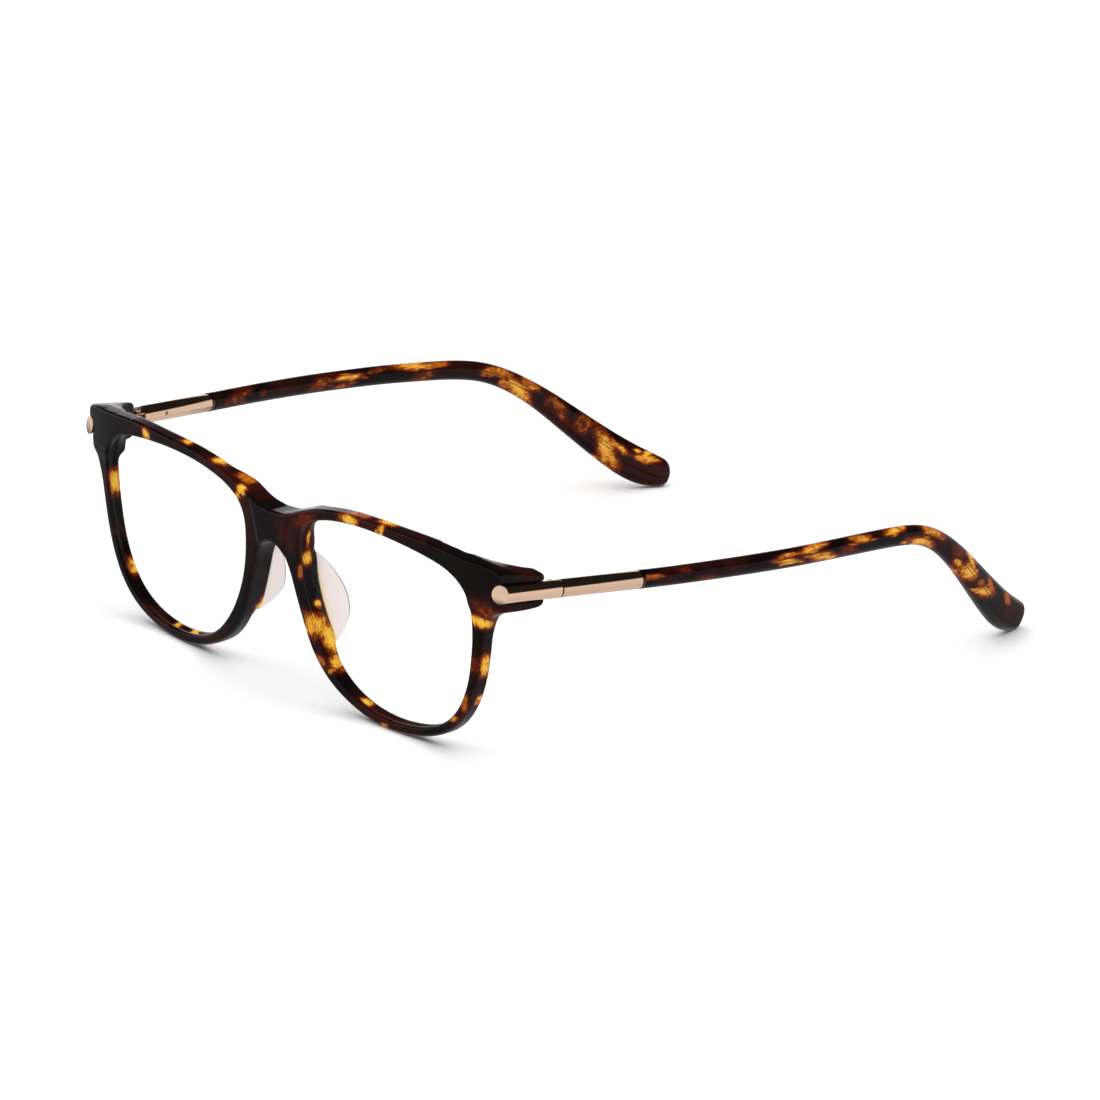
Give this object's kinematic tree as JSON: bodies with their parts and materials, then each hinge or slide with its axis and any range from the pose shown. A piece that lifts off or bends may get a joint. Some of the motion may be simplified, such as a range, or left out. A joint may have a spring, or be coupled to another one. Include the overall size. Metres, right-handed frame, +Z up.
{
  "type": "eyeglasses frame",
  "caption": "Full-rim eyeglasses frame with a tortoise acetate front, bonded nose pads, round metal rod end pieces and spring-hinged folding temples with metal sleeves.",
  "frame": {"origin": "centre of the bounding box in plan, at the height of the surface the frame stands on", "axes": "+X towards the wearer's left, +Y from the front back along the temples, +Z up; stands on the rims' lower edges and the temple tips, temples open"},
  "size_m": [0.1492, 0.1406, 0.0422],
  "materials": {
    "tortoise_acetate": "polished tortoiseshell: near-black brown with amber spots",
    "pad_acetate": "clear pinkish acetate, polished",
    "rose_gold": "polished rose-gold plating",
    "steel": "bright turned steel",
    "dark_metal": "dark plated ring"
  },
  "bodies": {
    "front": {"frame_front": "tortoise_acetate", "nose_pad_left": "pad_acetate", "nose_pad_right": "pad_acetate", "end_rod_left": "rose_gold", "end_rod_right": "rose_gold", "end_rod_screw_left": "steel", "end_rod_screw_right": "steel", "hinge_screw_left": "rose_gold", "hinge_screw_right": "rose_gold"},
    "carriage_left": {"hinge_carriage_left": "steel", "flex_spring_left": "steel", "spring_nut_left": "steel"},
    "temple_left": {"temple_sleeve_left": "rose_gold", "temple_collar_left": "dark_metal", "temple_arm_left": "tortoise_acetate", "temple_core_left": "steel", "spring_seat_left": "steel", "seat_screw_left": "steel"},
    "carriage_right": {"hinge_carriage_right": "steel", "flex_spring_right": "steel", "spring_nut_right": "steel"},
    "temple_right": {"temple_sleeve_right": "rose_gold", "temple_collar_right": "dark_metal", "temple_arm_right": "tortoise_acetate", "temple_core_right": "steel", "spring_seat_right": "steel", "seat_screw_right": "steel"}
  },
  "joints": [
    {"name": "fold_left", "type": "hinge", "parent": "front", "child": "carriage_left", "pos_m": [0.06822, -0.05307, 0.03489], "axis": [0.0067, 0.0638, 0.9979], "range_deg": [0, 88]},
    {"name": "flex_left", "type": "slide", "parent": "carriage_left", "child": "temple_left", "axis": [0.1036, 0.9926, -0.0641], "range_m": [0, 0.0008], "stiffness_N_per_m": 1800, "springref_m": -0.0005, "deforming": ["flex_spring_left"]},
    {"name": "fold_right", "type": "hinge", "parent": "front", "child": "carriage_right", "pos_m": [-0.06822, -0.05307, 0.03489], "axis": [0.0067, -0.0638, -0.9979], "range_deg": [0, 82]},
    {"name": "flex_right", "type": "slide", "parent": "carriage_right", "child": "temple_right", "axis": [-0.1036, 0.9926, -0.0641], "range_m": [0, 0.0008], "stiffness_N_per_m": 1800, "springref_m": -0.0005, "deforming": ["flex_spring_right"]}
  ]
}
